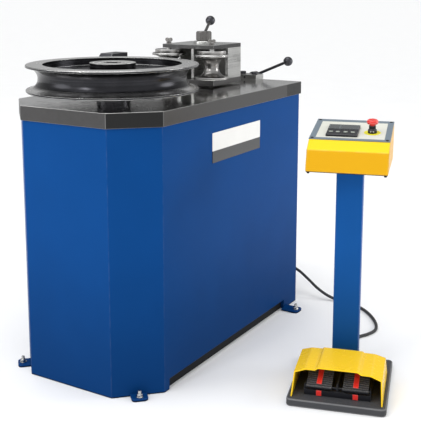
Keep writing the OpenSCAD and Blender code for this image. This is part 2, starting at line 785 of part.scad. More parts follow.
module left_pedal() color(black) at_pedal(1) pedal();
module right_pedal() color(black) at_pedal(-1) pedal();

module latch()
  translate([0, -latch_w / 2, pedal_t + tread_h]) cube([latch_l, latch_w, latch_t]);

module left_latch() color(red) at_pedal(1) latch();
module right_latch() color(red) at_pedal(-1) latch();

module latch_tongues() color(red) at_console()
  for (side = [-1, 1])
    translate([housing_p0 - latch_t, side * pedal_y - latch_w / 2, base_t]) cube([latch_t, latch_w, housing_h]);

// Gland with its nut and tapered boot, along +X from x = 0
module gland() rotate([0, 90, 0]) {
  hex_nut(2 * gland_r * cos(30), gland_nut_l);
  translate([0, 0, gland_nut_l]) cylinder(r1 = gland_r * 0.8, r2 = cable_r + 1.5, h = gland_boot_l);
}

module cabinet_gland() color(black) translate([cab_l / 2, cab_gland_y, cab_gland_z]) gland();
module post_gland() color(black) at_console() translate([post_in + post_l, 0, post_gland_z]) gland();

// The cable's route over the floor, from behind the cabinet to behind the console
route_middle = [
  [631, -192, 119.7], [645, -198, 118], [657, -207, 115.4], [666, -219, 112], [672, -233, 107.5],
  [674, -249, 102], [671, -273, 92], [662, -301, 79], [651, -331, 65], [641, -366, 46], [640, -406, 25],
  [644, -447, 10], [645, -490, 6], [634, -536, 6], [612, -580, 6], [576, -625, 6], [522, -671, 6],
  [466, -704, 6], [414, -718, 6], [366, -708, 6], [322, -687, 6], [276, -678, 7], [230, -688, 12],
  [191, -704, 26], [154, -715, 46]];

function console_point(p, z) =
  [console_x + (p - base_l / 2) * cos(console_turn), console_y + (p - base_l / 2) * sin(console_turn), z];

function droop(s, from, rate) = s < from ? 0 : (s - from) * (s - from) * rate;

route = concat(
  [for (s = [seat_gap, 7, 14]) [cab_l / 2 + gland_l + s, cab_gland_y, cab_gland_z]],
  route_middle,
  [for (s = [36, 24, 12, seat_gap])
    console_point(post_in + post_l + gland_l + s, post_gland_z - droop(s, 12, 0.008))]);

// Point at share t between the second and third of four route points, on one smooth curve
function smooth_point(a, b, c, d, t) =
  0.5 * ((2 * b) + (c - a) * t + (2 * a - 5 * b + 4 * c - d) * t * t + (3 * b - 3 * c + d - a) * t * t * t);

function smooth_route(points, steps) =
  let (last = len(points) - 1)
  concat([for (i = [0 : last - 1], k = [0 : steps - 1])
    smooth_point(i == 0 ? 2 * points[0] - points[1] : points[i - 1], points[i], points[i + 1],
      i == last - 1 ? 2 * points[last] - points[last - 1] : points[i + 2], k / steps)], [points[last]]);

function unit(v) = v / norm(v);

// Rings of a round tube of radius r along a path that never stands upright
function tube_rings(path, r, sides) =
  let (last = len(path) - 1)
  [for (i = [0 : last])
    let (along = unit(path[min(i + 1, last)] - path[max(i - 1, 0)]),
         across = unit(cross(along, [0, 0, 1])),
         up = cross(across, along))
    for (k = [0 : sides - 1])
      path[i] + r * (cos(360 * (k + 0.5) / sides) * across + sin(360 * (k + 0.5) / sides) * up)];

function tube_faces(rings, sides) = concat(
  [[for (k = [0 : sides - 1]) k]],
  [for (i = [0 : rings - 2], k = [0 : sides - 1])
    let (a = i * sides + k, b = i * sides + (k + 1) % sides)
    [b, a, a + sides, b + sides]],
  [[for (k = [sides - 1 : -1 : 0]) (rings - 1) * sides + k]]);

module control_cable() {
  path = smooth_route(route, 2);
  sides = 10;
  color(black) polyhedron(points = tube_rings(path, cable_r, sides), faces = tube_faces(len(path), sides));
}

cabinet();
base_rails();
service_panel();
table_top();
front_anchor_tabs();
rear_anchor_tabs();
sign_plate();
end_block();
end_block_bolts();
spindle();
bending_wheel();
hook_arm();
tube_hook();
head_base();
head_side_walls();
head_back_wall();
head_rib();
head_top_plate();
roller_pins();
wing_screws();
near_roller();
near_roller_cap();
far_roller();
far_roller_cap();
lever_washer();
head_lever();
head_lever_ball();
end_lever();
end_lever_ball();
console_base();
console_post();
console_box();
box_feet();
panel_frame();
panel_plate();
display_unit();
stop_ring();
stop_body();
stop_button();
pedal_hood();
pedal_housing();
left_pedal();
right_pedal();
left_latch();
right_latch();
latch_tongues();
cabinet_gland();
post_gland();
control_cable();
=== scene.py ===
"""Dresses the tube bending machine: rounded edges, fasteners, cable, finishes, floor, light and camera."""
import logging
import math
from dataclasses import dataclass, field
from enum import Enum

import bmesh
import bpy
from mathutils import Matrix, Vector


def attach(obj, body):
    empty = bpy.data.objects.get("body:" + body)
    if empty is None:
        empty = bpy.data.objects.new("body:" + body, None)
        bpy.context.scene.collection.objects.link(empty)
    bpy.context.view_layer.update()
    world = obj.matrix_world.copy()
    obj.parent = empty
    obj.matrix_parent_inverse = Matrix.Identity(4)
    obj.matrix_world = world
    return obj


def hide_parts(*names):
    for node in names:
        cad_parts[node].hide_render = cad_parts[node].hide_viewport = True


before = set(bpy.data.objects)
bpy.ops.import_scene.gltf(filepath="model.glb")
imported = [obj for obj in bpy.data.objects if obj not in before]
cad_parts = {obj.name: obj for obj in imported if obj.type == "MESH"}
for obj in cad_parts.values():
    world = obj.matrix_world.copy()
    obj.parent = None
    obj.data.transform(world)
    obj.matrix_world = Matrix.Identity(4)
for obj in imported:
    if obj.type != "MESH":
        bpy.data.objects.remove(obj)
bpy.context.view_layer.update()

LOG = logging.getLogger("tube_bender")
MM = 0.001
UPWARD = "upward"
EDGE = "rounded_edge"
WORN = "worn"

Rgb = tuple[float, float, float]
Point = tuple[float, float, float]


class Body(Enum):
    """The bodies that move by themselves."""

    MACHINE = "machine"
    DIE = "bending_die"
    HEAD = "head"
    NEAR_ROLLER = "near_roller"
    FAR_ROLLER = "far_roller"
    HEAD_LEVER = "head_lever"
    END_LEVER = "end_lever"
    STOP = "stop_button"
    LEFT_PEDAL = "left_pedal"
    RIGHT_PEDAL = "right_pedal"


class Grain(Enum):
    """Direction of the fine lines that a grinding wheel leaves."""

    ALONG_X = (4.0, 420.0, 420.0)
    ALONG_Y = (420.0, 4.0, 420.0)
    ALONG_Z = (420.0, 420.0, 4.0)


def srgb(red: int, green: int, blue: int) -> Rgb:
    """Turns display values into linear ones.

    Args:
        red: Display red from 0 to 255.
        green: Display green from 0 to 255.
        blue: Display blue from 0 to 255.

    Returns:
        The linear colour.
    """
    def one(value: int) -> float:
        """Turns one display value into a linear one."""
        share = value / 255
        return share / 12.92 if share <= 0.04045 else ((share + 0.055) / 1.055) ** 2.4
    return one(red), one(green), one(blue)


class Value:
    """A number socket that plain arithmetic works on."""

    def __init__(self, tree: bpy.types.NodeTree, socket: bpy.types.NodeSocket) -> None:
        """Keeps the socket and the tree that it belongs to."""
        self.tree = tree
        self.socket = socket

    def _maths(self, operation: str, first: "Value | float", second: "Value | float" = 0.0) -> "Value":
        """Adds one Math node.

        Args:
            operation: The node's operation.
            first: The upper input.
            second: The lower input.

        Returns:
            The node's result.
        """
        node = self.tree.nodes.new("ShaderNodeMath")
        node.operation = operation
        for socket, value in zip(node.inputs, (first, second)):
            if isinstance(value, Value):
                self.tree.links.new(value.socket, socket)
            else:
                socket.default_value = value
        return Value(self.tree, node.outputs[0])

    def __add__(self, other: "Value | float") -> "Value":
        """Sum."""
        return self._maths("ADD", self, other)

    def __radd__(self, other: float) -> "Value":
        """Sum with the number first."""
        return self._maths("ADD", other, self)

    def __sub__(self, other: "Value | float") -> "Value":
        """Difference."""
        return self._maths("SUBTRACT", self, other)

    def __rsub__(self, other: float) -> "Value":
        """Difference with the number first."""
        return self._maths("SUBTRACT", other, self)

    def __mul__(self, other: "Value | float") -> "Value":
        """Product."""
        return self._maths("MULTIPLY", self, other)

    def __rmul__(self, other: float) -> "Value":
        """Product with the number first."""
        return self._maths("MULTIPLY", other, self)

    def __pow__(self, other: "Value | float") -> "Value":
        """Power."""
        return self._maths("POWER", self, other)

    def size(self) -> "Value":
        """The number without its sign."""
        return self._maths("ABSOLUTE", self)

    def step(self, start: float, end: float) -> "Value":
        """Goes smoothly from 0 at start to 1 at end.

        Args:
            start: Input that gives 0.
            end: Input that gives 1.

        Returns:
            The smoothed share.
        """
        node = self.tree.nodes.new("ShaderNodeMapRange")
        node.interpolation_type = "SMOOTHSTEP"
        self.tree.links.new(self.socket, node.inputs["Value"])
        node.inputs["From Min"].default_value = start
        node.inputs["From Max"].default_value = end
        return Value(self.tree, node.outputs[0])


class NodeSet:
    """A node tree with one short way to add any node."""

    def __init__(self, tree: bpy.types.NodeTree) -> None:
        """Empties the tree and keeps it."""
        self.tree = tree
        self.tree.nodes.clear()

    def node(self, kind: str, settings: dict | None = None, inputs: dict | None = None,
             output: str | int | None = 0) -> Value | None:
        """Adds any node.

        Args:
            kind: The node's type.
            settings: The node's own settings, which are set first.
            inputs: Values or links of its sockets by name.
            output: Name or number of the output that is wanted, or None for an end node.

        Returns:
            That output, if one is wanted.
        """
        made = self.tree.nodes.new(kind)
        for key, value in (settings or {}).items():
            setattr(made, key, value)
        for key, value in (inputs or {}).items():
            self._feed(made.inputs[key], value)
        return None if output is None else Value(self.tree, made.outputs[output])

    def _feed(self, socket: bpy.types.NodeSocket, value: object) -> None:
        """Links or sets one socket.

        Args:
            socket: The socket to fill.
            value: A Value to link, a number or a vector.
        """
        if isinstance(value, Value):
            self.tree.links.new(value.socket, socket)
        elif isinstance(value, tuple) and socket.type == "RGBA":
            socket.default_value = (*value, 1.0)
        else:
            socket.default_value = value


class Shader(NodeSet):
    """One material's nodes: a Principled shader and what feeds it."""

    def __init__(self, name: str) -> None:
        """Makes the material with its output and its Principled shader.

        Args:
            name: The material's name.
        """
        self.material = bpy.data.materials.new(name)
        self.material.use_nodes = True
        super().__init__(self.material.node_tree)
        self.main = self.tree.nodes.new("ShaderNodeBsdfPrincipled")
        output = self.tree.nodes.new("ShaderNodeOutputMaterial")
        self.tree.links.new(self.main.outputs[0], output.inputs[0])

    def set(self, **sockets: object) -> None:
        """Fills the Principled shader's sockets.

        Args:
            **sockets: Values by socket name, with _ for a space.
        """
        for key, value in sockets.items():
            self._feed(self.main.inputs[key.replace("_", " ")], value)

    def place(self, centre: Point = (0.0, 0.0, 0.0), scale: Point = (1.0, 1.0, 1.0)) -> Value:
        """Object coordinates about a centre.

        Args:
            centre: The point that becomes zero, in metres.
            scale: Factor of each axis.

        Returns:
            The placed coordinates.
        """
        coords = self.node("ShaderNodeTexCoord", output="Object")
        shift = tuple(-c * s for c, s in zip(centre, scale))
        return self.node("ShaderNodeMapping", inputs={"Vector": coords, "Location": shift, "Scale": scale})

    def axis(self, name: str, at: Value | None = None) -> Value:
        """One coordinate of a vector.

        Args:
            name: X, Y or Z.
            at: The vector, or Object coordinates if none is given.

        Returns:
            The coordinate.
        """
        return self.node("ShaderNodeSeparateXYZ", inputs={"Vector": at or self.place()}, output=name)

    def kept(self, name: str) -> Value:
        """A number that the piece keeps for each face, or 0 where it keeps none."""
        return self.node("ShaderNodeAttribute", {"attribute_name": name}, output="Fac")

    def noise(self, scale: float, detail: float = 3.0, at: Value | None = None, rough: float = 0.5) -> Value:
        """Cloudy noise from 0 to 1.

        Args:
            scale: Cells in a metre.
            detail: Octaves.
            at: The vector, or Object coordinates if none is given.
            rough: Weight of the fine octaves.

        Returns:
            The noise.
        """
        return self.node("ShaderNodeTexNoise", inputs={
            "Vector": at or self.place(), "Scale": scale, "Detail": detail, "Roughness": rough})

    def blend(self, share: Value, first: "Value | Rgb", second: "Value | Rgb") -> Value:
        """Mixes two colours.

        Args:
            share: 0 for the first colour, 1 for the second.
            first: A colour.
            second: A colour.

        Returns:
            The mixed colour.
        """
        made = self.tree.nodes.new("ShaderNodeMix")
        made.data_type = "RGBA"
        self._feed(made.inputs[0], share)
        self._feed(made.inputs[6], first)
        self._feed(made.inputs[7], second)
        return Value(self.tree, made.outputs[2])

    def bump(self, height: Value, distance: float, strength: float = 1.0) -> Value:
        """Turns a height into a normal.

        Args:
            height: The height from 0 to 1.
            distance: What a height of 1 is in metres.
            strength: Weight of the bump.

        Returns:
            The normal.
        """
        return self.node("ShaderNodeBump", inputs={"Height": height, "Distance": distance, "Strength": strength})


def shaded(colour: Rgb, factor: float) -> Rgb:
    """Makes a colour lighter or darker by one factor."""
    return colour[0] * factor, colour[1] * factor, colour[2] * factor


def lighter(colour: Rgb, share: float) -> Rgb:
    """Mixes a colour with white by a share."""
    return tuple(channel + (1 - channel) * share for channel in colour)


@dataclass(frozen=True)
class Paint:
    """Powder coat: orange peel, faint clouds, painted shade in a dull band near the floor and on the sides, a painted
    contact shadow at the foot, and painted highlights on rounded edges with some wear.
    """

    name: str
    colour: Rgb
    roughness: float = 0.34
    peel: float = 0.00006
    # floor_shade: strength of the painted shade near the floor, where the paint is also duller
    floor_shade: float = 0.0
    gloss: float = 0.12
    # lower: colour of the faces that don't look up, painted shade on the sides
    lower: Rgb | None = None
    # edge_light: strength of the lighter rounded edges, painted highlight with some wear
    edge_light: float = 0.2

    def material(self) -> bpy.types.Material:
        """Builds the material."""
        shader = Shader(self.name)
        clouds = shader.noise(5.0, 4.0)
        tone = shader.blend(clouds, shaded(self.colour, 0.9), shaded(self.colour, 1.08))
        rough = self.roughness + (shader.noise(60.0, 5.0) - 0.5) * 0.12
        # Painted shade: faces that don't look up take the darker lower colour
        if self.lower:
            tone = shader.blend(shader.kept(UPWARD).step(0.4, 0.8), self.lower, tone)
        # Painted shade: the colour darkens towards the floor, and the roughness rises there
        if self.floor_shade > 0:
            height = shader.axis("Z") + (shader.noise(9.0, 5.0) - 0.5) * 0.12
            floor_shade_share = (1.0 - height.step(0.0, 0.6)) * self.floor_shade
            tone = shader.blend(floor_shade_share, tone, shaded(self.colour, 0.45))
            rough = rough + floor_shade_share * 0.16
            # Painted contact shadow: the paint turns near black in the lowest few millimetres
            painted_contact_shadow = 1.0 - shader.axis("Z").step(0.003, 0.005)
            tone = shader.blend(painted_contact_shadow, tone, shaded(self.colour, 0.08))
        # Rounded edges run lighter: partly edge wear, partly painted highlight
        worn_and_highlit_edges = shader.kept(EDGE) * shader.noise(35.0, 4.0).step(0.25, 0.75) * self.edge_light
        tone = shader.blend(worn_and_highlit_edges, tone, lighter(self.colour, 0.35))
        fine = shader.noise(700.0, 2.0) * 0.7 + shader.noise(170.0, 2.0) * 0.3
        shader.set(Base_Color=tone, Roughness=rough, Specular_IOR_Level=self.gloss,
                   Normal=shader.bump(fine, self.peel))
        return shader.material


@dataclass(frozen=True)
class TurnedSteel:
    """Lathe-turned steel: fine rings about an axis, oil clouds, and a painted highlight on upward faces within given
    radii and on rounded edges.
    """

    name: str
    centre: tuple[float, float]
    colour: Rgb
    roughness: float = 0.24
    # bright, bright_beyond, bright_within: colour and radii of the painted highlight on upward faces
    bright: Rgb = (0.5, 0.5, 0.5)
    bright_beyond: float = 9.0
    bright_within: float = 0.0

    def material(self) -> bpy.types.Material:
        """Builds the material."""
        shader = Shader(self.name)
        flat = shader.place((*self.centre, 0.0), (1.0, 1.0, 0.0))
        radius = shader.node("ShaderNodeVectorMath", {"operation": "LENGTH"}, {0: flat}, "Value")
        along = radius + shader.axis("Z") * 1.31
        rings = shader.node("ShaderNodeTexNoise", {"noise_dimensions": "1D"},
                            {"W": along, "Scale": 900.0, "Detail": 4.0, "Roughness": 0.6})
        wide = shader.node("ShaderNodeTexNoise", {"noise_dimensions": "1D"},
                           {"W": along, "Scale": 90.0, "Detail": 2.0})
        clouds = shader.noise(11.0, 5.0)
        share = rings * 0.35 + wide * 0.3 + clouds * 0.35
        tone = shader.blend(share.step(0.3, 0.72), shaded(self.colour, 0.62), shaded(self.colour, 1.3))
        # Painted highlight: upward faces past one radius and within another take the near-white colour
        band = radius.step(self.bright_beyond - 0.001, self.bright_beyond)
        middle = 1.0 - radius.step(self.bright_within, self.bright_within + 0.001)
        facing = shader.kept(UPWARD).step(0.6, 0.9)
        tone = shader.blend((band + middle) * facing * (0.75 + rings * 0.3), tone, self.bright)
        # Painted highlight: the rounded edges run near white
        tone = shader.blend(shader.kept(EDGE) * (0.55 + clouds * 0.5), tone, (0.92, 0.92, 0.9))
        rough = self.roughness + (wide - 0.5) * 0.14 + (clouds - 0.5) * 0.16
        shader.set(Base_Color=tone, Metallic=1.0, Roughness=rough,
                   Normal=shader.bump(rings, 0.000035))
        return shader.material


@dataclass(frozen=True)
class GroundSteel:
    """Ground plate: fine straight lines, soft clouds of handling marks, a few scuffs, painted shade on the sides
    where a side colour is given, and a painted highlight on rounded edges.
    """

    name: str
    colour: Rgb
    roughness: float = 0.3
    grain: Grain = Grain.ALONG_X
    line_depth: float = 0.00002
    marks: float = 0.2
    # edge_light: strength of the painted highlight on rounded edges
    edge_light: float = 0.6
    # side: colour of the faces that don't look up, painted shade
    side: Rgb | None = None

    def material(self) -> bpy.types.Material:
        """Builds the material."""
        shader = Shader(self.name)
        lines = shader.noise(1.0, 4.0, shader.place(scale=self.grain.value), 0.62)
        clouds = shader.noise(7.0, 6.0, rough=0.6)
        stains = shader.noise(28.0, 4.0).step(0.56, 0.72)
        share = lines * 0.5 + clouds * 0.5
        tone = shader.blend(share.step(0.32, 0.68), shaded(self.colour, 0.78), shaded(self.colour, 1.16))
        # Painted shade: faces that don't look up take the darker side colour
        if self.side:
            tone = shader.blend(shader.kept(UPWARD).step(0.4, 0.9), self.side, tone)
        tone = shader.blend(stains * self.marks, tone, shaded(self.colour, 0.55))
        # Painted highlight: the rounded edges run lighter
        tone = shader.blend(shader.kept(EDGE) * (0.4 + clouds) * self.edge_light, tone, (0.7, 0.7, 0.69))
        rough = self.roughness + (lines - 0.5) * 0.16 + (clouds - 0.5) * 0.22 + stains * self.marks * 0.12
        shader.set(Base_Color=tone, Metallic=1.0, Roughness=rough,
                   Normal=shader.bump(lines, self.line_depth))
        return shader.material


@dataclass(frozen=True)
class TableSteel:
    """Table plate: a polished face, duller milled edges, near-black cut corners and a painted highlight on rounded
    edges.
    """

    name: str
    face: Rgb
    edge: Rgb
    corner: Rgb
    top_z: float
    corner_sum: float

    def material(self) -> bpy.types.Material:
        """Builds the material."""
        shader = Shader(self.name)
        place = shader.place()
        height = shader.axis("Z", place)
        lines = shader.noise(1.0, 4.0, shader.place(scale=Grain.ALONG_X.value), 0.62)
        clouds = shader.noise(5.0, 6.0, rough=0.6)
        scale = shader.noise(60.0, 6.0, rough=0.7)
        rings = shader.noise(24.0, 3.0).step(0.57, 0.7)
        face = shader.blend((lines * 0.4 + clouds * 0.6).step(0.3, 0.7), shaded(self.face, 0.8),
                            shaded(self.face, 1.15))
        face = shader.blend(rings * 0.25, face, shaded(self.face, 0.5))
        edge = shader.blend(scale, shaded(self.edge, 0.75), shaded(self.edge, 1.3))
        # The cut corners take the near-black corner colour
        reach = shader.axis("X", place).size() + shader.axis("Y", place).size()
        cut = reach.step(self.corner_sum - 0.002, self.corner_sum - 0.001)
        edge = shader.blend(cut, edge, shader.blend(scale, shaded(self.corner, 0.8), shaded(self.corner, 1.2)))
        top = height.step(self.top_z - 0.0014, self.top_z - 0.0006)
        rough = (0.13 + (clouds - 0.5) * 0.16 + (lines - 0.5) * 0.1 + rings * 0.1) * top
        rough = rough + (0.42 + (scale - 0.5) * 0.2) * (1.0 - top)
        tone = shader.blend(top, edge, face)
        # Painted highlight: the rounded edges run lighter
        tone = shader.blend(shader.kept(EDGE) * (0.2 + clouds * 0.6) * 0.5, tone, (0.6, 0.6, 0.59))
        shader.set(Base_Color=tone, Metallic=0.35 + top * 0.65, Roughness=rough,
                   Normal=shader.bump(lines * top + scale * (1.0 - top) * 3.0, 0.000012))
        return shader.material


@dataclass(frozen=True)
class Moulded:
    """Moulded plastic: fine spark grain, faint clouds, dust on what looks up, lighter worn treads, and a painted
    highlight on rounded edges with some wear.
    """

    name: str
    colour: Rgb
    roughness: float = 0.45
    grain: float = 0.00008
    gloss: float = 0.3
    dust: float = 0.12
    mottle: float = 0.1
    # edge_light: strength of the lighter rounded edges, painted highlight with some wear
    edge_light: float = 0.2

    def material(self) -> bpy.types.Material:
        """Builds the material."""
        shader = Shader(self.name)
        clouds = shader.noise(14.0, 4.0)
        tone = shader.blend(clouds, shaded(self.colour, 1.0 - self.mottle), shaded(self.colour, 1.0 + self.mottle))
        facing = shader.kept(UPWARD).step(0.4, 1.0)
        specks = shader.noise(240.0, 5.0).step(0.4, 0.75)
        tone = shader.blend(facing * specks * self.dust, tone, (0.42, 0.42, 0.42))
        tone = shader.blend(shader.kept(WORN) * (0.3 + specks * 0.5), tone, lighter(self.colour, 0.16))
        # Rounded edges run lighter: partly edge wear, partly painted highlight
        worn_and_highlit_edges = shader.kept(EDGE) * (0.4 + clouds) * self.edge_light
        tone = shader.blend(worn_and_highlit_edges, tone, lighter(self.colour, 0.5))
        fine = shader.noise(1300.0, 2.0)
        rough = self.roughness + (shader.noise(45.0, 3.0) - 0.5) * 0.14
        shader.set(Base_Color=tone, Roughness=rough, Specular_IOR_Level=self.gloss,
                   Normal=shader.bump(fine, self.grain))
        return shader.material


@dataclass(frozen=True)
class Sheath:
    """Rubber cable sheath: dull, faintly mottled, with dust."""

    name: str
    colour: Rgb

    def material(self) -> bpy.types.Material:
        """Builds the material."""
        shader = Shader(self.name)
        mottle = shader.noise(130.0, 5.0)
        tone = shader.blend(mottle.step(0.35, 0.7), self.colour, shaded(self.colour, 1.7))
        shader.set(Base_Color=tone, Roughness=0.5 + mottle * 0.2,
                   Normal=shader.bump(shader.noise(900.0, 3.0), 0.00008))
        return shader.material


@dataclass(frozen=True)
class TwoToneSheet:
    """Bare enamelled sheet in two plain fields, the upper one light and the lower one dark."""

    name: str
    upper: Rgb
    lower: Rgb
    split_z: float

    def material(self) -> bpy.types.Material:
        """Builds the material."""
        shader = Shader(self.name)
        clouds = shader.noise(18.0, 4.0)
        light = shader.blend(clouds, shaded(self.upper, 0.94), shaded(self.upper, 1.02))
        dark = shader.blend(clouds, shaded(self.lower, 0.85), shaded(self.lower, 1.15))
        above = shader.axis("Z").step(self.split_z - 0.0008, self.split_z + 0.0008)
        shader.set(Base_Color=shader.blend(above, dark, light), Roughness=0.32 + clouds * 0.1,
                   Coat_Weight=0.2, Normal=shader.bump(shader.noise(500.0, 2.0), 0.00003))
        return shader.material


@dataclass(frozen=True)
class Screen:
    """Dark window of a display: smooth, with faint smears."""

    name: str
    colour: Rgb

    def material(self) -> bpy.types.Material:
        """Builds the material."""
        shader = Shader(self.name)
        smear = shader.noise(35.0, 5.0)
        shader.set(Base_Color=shader.blend(smear, self.colour, shaded(self.colour, 1.6)),
                   Roughness=0.08 + smear * 0.12, Coat_Weight=0.6, Coat_Roughness=0.05)
        return shader.material


@dataclass(frozen=True)
class FloorCoat:
    """Pale studio floor with a hardly visible mottle."""

    name: str = "studio_floor"

    def material(self) -> bpy.types.Material:
        """Builds the material."""
        shader = Shader(self.name)
        mottle = shader.noise(3.0, 3.0)
        shader.set(Base_Color=shader.blend(mottle, (0.86, 0.86, 0.86), (0.9, 0.9, 0.9)),
                   Roughness=0.6 + mottle * 0.1)
        return shader.material


class Finishes:
    """Every finish of the machine, built once."""

    def __init__(self) -> None:
        """Builds the materials."""
        wheel = (-0.297, 0.0)
        made = [
            # floor_shade on both blues is painted shade near the floor
            Paint("blue_powder_coat", (0.0038, 0.057, 0.226), floor_shade=0.65, gloss=0.03, edge_light=0.06),
            # The post's blue is the cabinet's blue made lighter: painted light
            Paint("blue_paint_lit_copy", (0.0075, 0.092, 0.34), floor_shade=0.65, gloss=0.05, edge_light=0.08),
            # Black paint: on the base rails it is painted shade in the toe recess; it also covers the box's underside
            Paint("black_rail_paint", srgb(26, 27, 29), roughness=0.6),
            # The yellow's lower colour is painted shade on the box's sides
            Paint("signal_yellow_paint", (0.9, 0.62, 0.008), roughness=0.3, lower=(0.7, 0.365, 0.006),
                  edge_light=0.1),
            Paint("grey_frame_paint", srgb(114, 126, 136), roughness=0.4),
            Paint("light_plate_paint", srgb(214, 214, 204), roughness=0.45),
            TwoToneSheet("sign_sheet", srgb(236, 236, 234), srgb(38, 39, 42), 0.77),
            TableSteel("polished_table_steel", srgb(214, 213, 211), srgb(58, 57, 57), srgb(15, 15, 15),
                       0.95, 0.748),
            GroundSteel("ground_head_steel", srgb(176, 176, 174), 0.3, edge_light=0.3),
            # The lid's side colour is painted shade on its edges
            GroundSteel("ground_lid_steel", srgb(196, 196, 194), 0.3, edge_light=0.3, side=srgb(72, 72, 72)),
            # Dark steel for the head's base plate: painted shade under the head
            GroundSteel("painted_shade_base_steel", srgb(92, 91, 91), 0.34),
            GroundSteel("blackened_screw_steel", srgb(70, 70, 74), 0.34, Grain.ALONG_Z),
            GroundSteel("plain_lever_steel", srgb(112, 110, 108), 0.28, Grain.ALONG_Z),
            GroundSteel("bright_washer_steel", srgb(190, 190, 188), 0.24, Grain.ALONG_Y),
            # The wheel's near-white colour and its two radii give the painted highlight on the rim's and hub's tops
            TurnedSteel("turned_wheel_steel", wheel, srgb(52, 52, 55), 0.25, srgb(248, 247, 245), 0.2395,
                        0.0805),
            TurnedSteel("turned_spindle_steel", wheel, srgb(70, 70, 73), 0.26),
            TurnedSteel("turned_near_roller_steel", (0.198, -0.1), srgb(150, 148, 146), 0.28),
            TurnedSteel("turned_far_roller_steel", (0.198, 0.1), srgb(150, 148, 146), 0.28),
            Moulded("charcoal_base_plastic", srgb(60, 61, 64), 0.5, dust=0.08),
            Moulded("black_pedal_plastic", srgb(20, 21, 27), 0.42),
            Moulded("yellow_hood_plastic", (0.88, 0.56, 0.008), 0.26, 0.00003, 0.3, 0.0, 0.03, 0.04),
            Moulded("yellow_ring_plastic", srgb(232, 222, 40), 0.4, dust=0.0),
            Moulded("red_stop_plastic", srgb(222, 48, 42), 0.28, 0.00003, 0.4, 0.0),
            Moulded("light_key_plastic", srgb(164, 170, 160), 0.4, dust=0.0),
            Moulded("grey_trim_plastic", srgb(92, 98, 100), 0.4, dust=0.0),
            Screen("display_window", srgb(38, 44, 46)),
            Sheath("cable_rubber", srgb(34, 34, 36)),
        ]
        self._made = {finish.name: finish.material() for finish in made}

    def __getitem__(self, name: str) -> bpy.types.Material:
        """The material of that name."""
        return self._made[name]


def merged_copy(node: str) -> bmesh.types.BMesh:
    """Copies a CAD node's loose triangles into one closed mesh with flat faces joined.

    Args:
        node: The CAD node.

    Returns:
        The merged mesh.
    """
    bm = bmesh.new()
    bm.from_mesh(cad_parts[node].data)
    bmesh.ops.remove_doubles(bm, verts=bm.verts, dist=0.000002)
    bmesh.ops.dissolve_limit(bm, angle_limit=math.radians(0.15), verts=bm.verts, edges=bm.edges)
    return bm


def round_edges(bm: bmesh.types.BMesh, width: float, segments: int = 3, angle: float = 25.0,
                most: float = 181.0) -> None:
    """Rounds every edge that is sharper than an angle and marks the rounding's faces.

    Args:
        bm: The mesh.
        width: Width of the rounding in metres.
        segments: Steps of the rounding.
        angle: Smallest turn between two faces, in degrees.
        most: Largest turn that is rounded, in degrees.
    """
    rounded = bm.faces.layers.float.get(EDGE) or bm.faces.layers.float.new(EDGE)
    sharp = [edge for edge in bm.edges if len(edge.link_faces) == 2
             and math.radians(angle) < edge.calc_face_angle(0.0) < math.radians(most)]
    made = bmesh.ops.bevel(bm, geom=sharp, offset=width, offset_type="OFFSET", affect="EDGES",
                           segments=segments, profile=0.5, clamp_overlap=True, material=-1)
    for face in made["faces"]:
        face[rounded] = 1.0


def finish_piece(name: str, bm: bmesh.types.BMesh, material: bpy.types.Material, body: Body,
                 stands_for: tuple[str, ...] = ()) -> bpy.types.Object:
    """Makes an object with even shading from a mesh and lets it ride on its body.

    Args:
        name: The piece's name.
        bm: Its mesh, which is freed.
        material: Its finish.
        body: What it rides on.
        stands_for: The CAD nodes that it replaces.

    Returns:
        The object.
    """
    for face in bm.faces:
        face.smooth = True
    for edge in bm.edges:
        edge.smooth = len(edge.link_faces) == 2 and edge.calc_face_angle(0.0) < math.radians(38)
    rough = bpy.data.meshes.new(name + "_rough")
    bm.to_mesh(rough)
    bm.free()
    piece = bpy.data.objects.new(name, rough)
    bpy.context.scene.collection.objects.link(piece)
    even = piece.modifiers.new("even_normals", "WEIGHTED_NORMAL")
    even.keep_sharp = True
    bpy.context.view_layer.update()
    shape = bpy.data.meshes.new_from_object(piece.evaluated_get(bpy.context.evaluated_depsgraph_get()))
    piece.modifiers.remove(even)
    piece.data = shape
    shape.name = name
    upward = shape.attributes.new(UPWARD, "FLOAT", "FACE")
    upward.data.foreach_set("value", [polygon.normal.z for polygon in shape.polygons])
    bpy.data.meshes.remove(rough)
    shape.materials.clear()
    shape.materials.append(material)
    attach(piece, body.value)
    if stands_for:
        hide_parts(*stands_for)
    LOG.info("%s: %d faces, on %s", name, len(shape.polygons), body.value)
    return piece


def hexagon_head(bm: bmesh.types.BMesh, centre: Point, flats: float, height: float, washer: float,
                 turn: float = 0.0) -> None:
    """Adds a hexagon bolt head with its washer, standing on a point.

    Args:
        bm: The mesh to add to.
        centre: Middle of the washer's underside, in metres.
        flats: Width across the flats.
        height: Height of the head.
        washer: Radius of the washer, or 0 for none.
        turn: Turn of the head in radians.
    """
    base = Vector(centre)
    if washer > 0:
        ring = bmesh.ops.create_cone(bm, cap_ends=True, segments=32, radius1=washer, radius2=washer,
                                     depth=0.0025)
        bmesh.ops.translate(bm, verts=ring["verts"], vec=base + Vector((0, 0, 0.00125)))
        base = base + Vector((0, 0, 0.0025))
    corner = flats / math.sqrt(3)
    head = bmesh.ops.create_cone(bm, cap_ends=True, segments=6, radius1=corner, radius2=corner, depth=height)
    verts = head["verts"]
    bmesh.ops.rotate(bm, verts=verts, matrix=Matrix.Rotation(turn, 3, "Z"))
    bmesh.ops.translate(bm, verts=verts, vec=base + Vector((0, 0, height / 2)))
    crown = bmesh.ops.create_cone(bm, cap_ends=True, segments=24, radius1=flats * 0.47,
                                  radius2=flats * 0.42, depth=0.001)
    bmesh.ops.translate(bm, verts=crown["verts"], vec=base + Vector((0, 0, height + 0.0004)))


